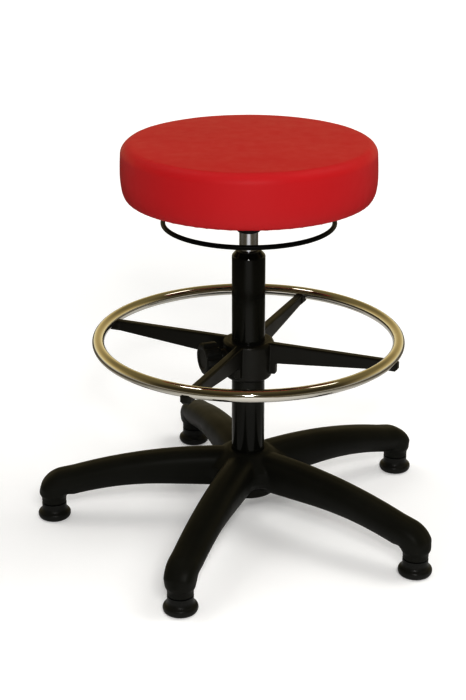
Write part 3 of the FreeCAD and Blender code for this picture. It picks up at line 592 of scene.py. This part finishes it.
def arm_rings():
    """Rings of one arm along +X, from inside the hub to the glide's neck."""
    rings = []
    for i in range(ARM_STEPS + 1):
        share = i / ARM_STEPS
        r = ARM_START_R + (ARM_UPRIGHT_END - ARM_START_R) * share
        half = ARM_HALF_ROOT + (ARM_HALF_TIP - ARM_HALF_ROOT) * share
        outline = section(half, keel_z(r), crest_z(r), max(0.0, 1 - r / ARM_ROOT_R))
        rings.append([Vector((r, w, z)) for w, z in outline])
    for lean, depth, half, root in catmull(ELBOW, 8):
        out, up = math.sin(math.radians(lean)), math.cos(math.radians(lean))
        rings.append([Vector((ARM_ELBOW_R + d * out, w, ARM_ELBOW_Z + d * up))
                      for w, d in section(half, 0, depth, root)])
    count = len(rings[0])
    for z, r in FOOT:
        rings.append([Vector((GLIDE_R, 0, z)) - polar(r, -360 * i / count) for i in range(count)])
    return rings


def add_webs(bm):
    """Webs that fill the corners between the arms, thickest at mid height."""
    half_angle = math.pi / 5
    mirror = Matrix.Rotation(2 * half_angle, 4, "Z") @ Matrix.Scale(-1, 4, (0, 1, 0))
    for deg in ARM_DEGS:
        rings = []
        for z, half, corner in WEB:
            reach = (half + corner) / math.sin(half_angle)
            centre = Vector((reach * math.cos(half_angle), reach * math.sin(half_angle), 0))
            sweep = [centre + corner * polar(1, 270 - 54 * i / 8) for i in range(9)]
            straight = [Vector((WEB_REACH, 0, 0)), Vector((WEB_REACH, half, 0))]
            outline = [Vector((0, 0, 0))] + straight + sweep
            outline += [mirror @ p for p in reversed(straight + sweep[:-1])]
            rings.append([turned(deg) @ (p + Vector((0, 0, z))) for p in outline])
        add_rings(bm, rings)


def add_pockets(bm, deg):
    """Open pockets under one arm, between its ribs."""
    start = POCKET_START_R
    for rib_r in ARM_RIB_RS:
        end = rib_r - ARM_RIB_HALF
        for sides in ((-POCKET_OUT, -POCKET_IN), (POCKET_IN, POCKET_OUT)):
            add_box(bm, (start, end), sides, (POCKET_BOTTOM_Z, keel_z(end) + POCKET_DEPTH), turned(deg),
                    POCKET_EDGE)
        start = rib_r + ARM_RIB_HALF


def add_pin_marks(bm, deg):
    """Shallow round recess low on each side of an arm, just inside its glide."""
    for side in (-1, 1):
        at = Matrix.Translation((PIN_AT_R, PIN_FLOOR * side, PIN_AT_Z))
        facing = at @ Matrix.Rotation(math.radians(-90 * side), 4, "X")
        add_along(bm, [(0, 0), (PIN_R, 0), (PIN_R, PIN_CUT), (0, PIN_CUT)], 24, turned(deg) @ facing)


def base_piece():
    bm = bmesh.new()
    rings = arm_rings()
    for deg in ARM_DEGS:
        add_rings(bm, [[turned(deg) @ p for p in ring] for ring in rings])
    add_lathe(bm, [(0, HUB_BOTTOM_Z), (HUB_R - 3, HUB_BOTTOM_Z), (HUB_R - 0.8, HUB_BOTTOM_Z + 0.8),
                   (HUB_R, HUB_BOTTOM_Z + 3), (HUB_R, HUB_WALL_TOP_Z), (0, HUB_WALL_TOP_Z)], HUB_STEPS)
    add_lathe(bm, [(0, HUB_DOME[0][1]), *HUB_DOME, (0, HUB_TOP_Z)], HUB_STEPS)
    add_webs(bm)
    base = make_object("star_base_cast", bm)
    cast(base, BASE_VOXEL, BASE_SMOOTHING)
    cutter = bmesh.new()
    # the bore runs on past the top and bottom of the base
    add_lathe(cutter, [(0, 0), (BORE_LOW_R, 0), (BORE_LOW_R, BORE_LOW_Z), (BORE_HIGH_R, BORE_HIGH_Z),
                       (BORE_HIGH_R, 140), (0, 140)], 128)
    for deg in ARM_DEGS:
        add_pockets(cutter, deg)
        add_pin_marks(cutter, deg)
    cut(base, cutter)
    shade(base.data, 42)
    return base


finish_piece(base_piece(), "base", "base_nylon", "star_base")


# ---- footring spider and clamp knob -------------------------------------------------
SPIDER_VOXEL, SPIDER_SMOOTHING = 0.85, 4


def spoke_half(z):
    """Half width of a spoke at height z: the sides are drafted."""
    return SPOKE_HALF_LOW + (SPOKE_HALF - SPOKE_HALF_LOW) * (z - LUG_Z) / (SPOKE_TOP_Z - LUG_Z)


def add_spoke(bm, deg):
    """One spoke with the lug under its root and the saddle at its end."""
    rings = []
    for r, low in ((SPIDER_BORE_R + 4, LUG_Z), (LUG_R - 1.5, LUG_Z), (LUG_R, LUG_Z + 1.5),
                   (LUG_R + 0.3, SPOKE_LOW_IN_Z - 2), (LUG_R + 2.5, SPOKE_LOW_IN_Z + 0.3),
                   (SADDLE_OUT_R - 8, SPOKE_LOW_OUT_Z)):
        side = [(spoke_half(low) - SPOKE_EDGE, low), (spoke_half(low), low + SPOKE_EDGE),
                (SPOKE_HALF, SPOKE_TOP_Z - SPOKE_EDGE), (SPOKE_HALF - SPOKE_EDGE, SPOKE_TOP_Z)]
        outline = side + [(-w, z) for w, z in reversed(side)]
        rings.append([turned(deg) @ Vector((r, w, z)) for w, z in outline])
    add_rings(bm, rings)
    add_box(bm, (SADDLE_IN_R, SADDLE_OUT_R), (-SADDLE_HALF, SADDLE_HALF), (SADDLE_LOW_Z, SPOKE_TOP_Z),
            turned(deg), SADDLE_EDGE)


def spider_piece():
    bm = bmesh.new()
    core_r = SPIDER_BORE_R - 4
    add_lathe(bm, [(core_r, SPIDER_BOTTOM_Z), (SPIDER_LOW_R - 2.5, SPIDER_BOTTOM_Z),
                   (SPIDER_LOW_R, SPIDER_BOTTOM_Z + 2.5), (SPIDER_R, SPOKE_TOP_Z - 4),
                   (SPIDER_R - 1.2, SPOKE_TOP_Z - 1.2), (SPIDER_R - 4, SPOKE_TOP_Z),
                   (core_r, SPOKE_TOP_Z)], 128)
    for deg in SPOKE_DEGS:
        add_spoke(bm, deg)
    boss = [(0, BOSS_IN), (BOSS_R, BOSS_IN), (BOSS_R, BOSS_OUT - 1), (BOSS_R - 1, BOSS_OUT), (0, BOSS_OUT)]
    add_along(bm, boss, 64, along(KNOB_DEG, BOSS_AT_R, KNOB_Z))
    spider = make_object("spider_cast", bm)
    cast(spider, SPIDER_VOXEL, SPIDER_SMOOTHING)
    holes = bmesh.new()
    lip_r, lip_z = SPIDER_BORE_R + SPIDER_LIP, SPOKE_TOP_Z - SPIDER_LIP_DEPTH
    add_lathe(holes, [(0, 200), (SPIDER_BORE_R, 200), (SPIDER_BORE_R, lip_z), (lip_r, lip_z), (lip_r, 320),
                      (0, 320)], 128)
    screw_seat = [(0, 270), (SCREW_SEAT_R, 270), (SCREW_SEAT_R, SCREW_SEAT_Z), (0, SCREW_SEAT_Z)]
    for deg in SPOKE_DEGS:
        add_along(holes, screw_seat, 32, Matrix.Translation(polar(RING_R, deg)))
    insert_hole = [(0, 0), (INSERT_HOLE_R, 0), (INSERT_HOLE_R, INSERT_HOLE_LENGTH), (0, INSERT_HOLE_LENGTH)]
    add_along(holes, insert_hole, 40, along(KNOB_DEG, INSERT_HOLE_START, KNOB_Z))
    cut(spider, holes)
    stud_cutter = bmesh.new()
    stud_hole = [(0, 0), (STUD_HOLE_R, 0), (STUD_HOLE_R, STUD_HOLE_LENGTH), (0, STUD_HOLE_LENGTH)]
    add_along(stud_cutter, stud_hole, 40, along(KNOB_DEG, STUD_HOLE_START, KNOB_Z))
    cut(spider, stud_cutter)
    shade(spider.data, 40)
    return spider


def knob_radius(r, angle):
    """Radius r cut back by the finger grooves between the lobes."""
    centre = KNOB_R + GROOVE_OUT
    pitch = 2 * math.pi / KNOB_LOBES
    off = (angle % pitch) - pitch / 2
    across = centre * math.sin(off)
    if abs(across) >= GROOVE_R:
        return r
    inner = centre * math.cos(off) - math.sqrt(GROOVE_R ** 2 - across ** 2)
    # a soft minimum rounds the crest of each lobe
    share = max(0.0, min(1.0, 0.5 + 0.5 * (inner - r) / GROOVE_CREST))
    return inner + (r - inner) * share - GROOVE_CREST * share * (1 - share)


def knob_grooved(r, z, angle):
    """Cuts the grooves into the barrel, and leaves the flange and the middle of the face round."""
    if r > KNOB_R - 6 and z > BARREL_START - 1:
        r = knob_radius(r, angle)
    return r, z


def knob_piece():
    depth = KNOB_OUT - KNOB_IN
    flange = [(KNOB_STUD_R, 0.0), (FLANGE_R - 0.6, 0.0), (FLANGE_R, 0.6), (FLANGE_R, FLANGE_T - 0.6),
              (FLANGE_R - 0.6, FLANGE_T), (12.5, FLANGE_T + 0.3), (12.2, BARREL_START - 0.4)]
    barrel = [(13, BARREL_START), (KNOB_R - 3, BARREL_START), (KNOB_R - 1.4, BARREL_START + 0.4),
              (KNOB_R - 0.3, BARREL_START + 1.5)]
    barrel += [(KNOB_R, BARREL_START + 3 + 2 * i) for i in range(8)]
    face = [(KNOB_R - 0.1, depth - 3.6), (KNOB_R - 0.6, depth - 2), (KNOB_R - 1.7, depth - 0.8),
            (KNOB_R - 3.4, depth - 0.15), (KNOB_R - 5, depth), (16.4, depth), (15.6, depth - 0.2),
            (15.1, depth - 0.8), (14.6, depth - KNOB_RECESS), (0, depth - KNOB_RECESS)]
    bore = [(0, depth - KNOB_BORE_END), (KNOB_STUD_R, depth - KNOB_BORE_END)]
    bm = bmesh.new()
    add_along(bm, flange + barrel + face + bore, 24 * KNOB_LOBES, along(KNOB_DEG, KNOB_IN, KNOB_Z),
              knob_grooved)
    return make_object("knob_lobed", bm, 38)


finish_piece(spider_piece(), "footring", "spider_nylon", "footring_spider")
finish_piece(knob_piece(), "clamp_screw", "knob_plastic", "clamp_knob")


# ---- padded seat --------------------------------------------------------------------
SEAT_STEPS = 396


def seat_profile():
    """Outline of cover and foam as (r, z), from the crown down to the hem and back over the board."""
    flat_r = SEAT_R - 1 - SEAT_SHOULDER_R
    rise = SEAT_CROWN_Z - SEAT_SIDE_TOP_Z - SEAT_SHOULDER_R
    points = [(flat_r * i / 26, SEAT_CROWN_Z - rise * (i / 26) ** SEAT_CROWN_POWER) for i in range(26)]
    for i in range(14):
        a = math.radians(90 - 90 * i / 13)
        points.append((flat_r + SEAT_SHOULDER_R * math.cos(a),
                       SEAT_SIDE_TOP_Z + SEAT_SHOULDER_R * math.sin(a)))
    hem_out_r, hem_in_r = SEAT_R - HEM_START, SEAT_R - HEM_START - HEM_LENGTH
    points += catmull([(SEAT_R - 0.4, 577), (SEAT_R, 560), (SEAT_R - 0.6, 546), (SEAT_R - 2.6, 534.5),
                       (SEAT_R - 6.2, 526.7), (SEAT_R - 10, 524.2), (hem_out_r, SEAT_BOTTOM_Z)], 4)
    points += [(hem_out_r - HEM_LENGTH * i / 10, SEAT_BOTTOM_Z) for i in range(1, 11)]
    inner = BOARD_R + 0.5
    under, top = BOARD_Z - 0.2, BOARD_Z + BOARD_T + 0.2
    points += [(hem_in_r - 0.3, SEAT_BOTTOM_Z + HEM_T), (hem_in_r, under), (inner, under), (inner, top),
               (0.0, top)]
    return points


def seat_shift(r, z, angle):
    """Small irregularities of hand-pulled vinyl: a soft crown, a little waviness, pleats under the edge."""
    at = Vector((math.cos(angle), math.sin(angle), 0))
    if z > BOARD_Z + BOARD_T + 5 or r > BOARD_R + 2:
        here = at * (r / 60) + Vector((0, 0, z / 60))
        soft = noise.noise(here) * 0.9 + noise.noise(here * 2.7) * 0.35
        if z > SEAT_SIDE_TOP_Z:
            z += soft * 0.7 * smoothstep(SEAT_R - r, 0, 30)
        r += soft * 0.5 * smoothstep(z, SEAT_BOTTOM_Z, SEAT_BOTTOM_Z + 20)
    if z < SEAT_SIDE_TOP_Z and r > BOARD_R - 30:
        phase = angle * PLEATS + 2.2 * noise.noise(at * 3.1)
        depth = 0.6 + 0.4 * noise.noise(at * 7.0 + Vector((0, 0, 3)))
        pleat = (0.5 + 0.5 * math.cos(phase)) ** 2.5 * depth
        pull = smoothstep(SEAT_BOTTOM_Z + 26 - z, 0, 24)
        if r > BOARD_R:
            r -= 0.55 * pleat * pull
        if z < BOARD_Z - 0.9:
            z -= 1.1 * pleat * smoothstep(SEAT_R - 3 - r, 0, 12)
    return r, z


def seat_piece():
    bm = bmesh.new()
    add_lathe(bm, seat_profile(), SEAT_STEPS, seat_shift)
    return make_object("seat_cushion", bm, 60)


cushion = finish_piece(seat_piece(), "seat", "red_vinyl", "seat_cover", "seat_foam")


scene.view_settings.view_transform = "Standard"
scene.view_settings.look = "High Contrast"
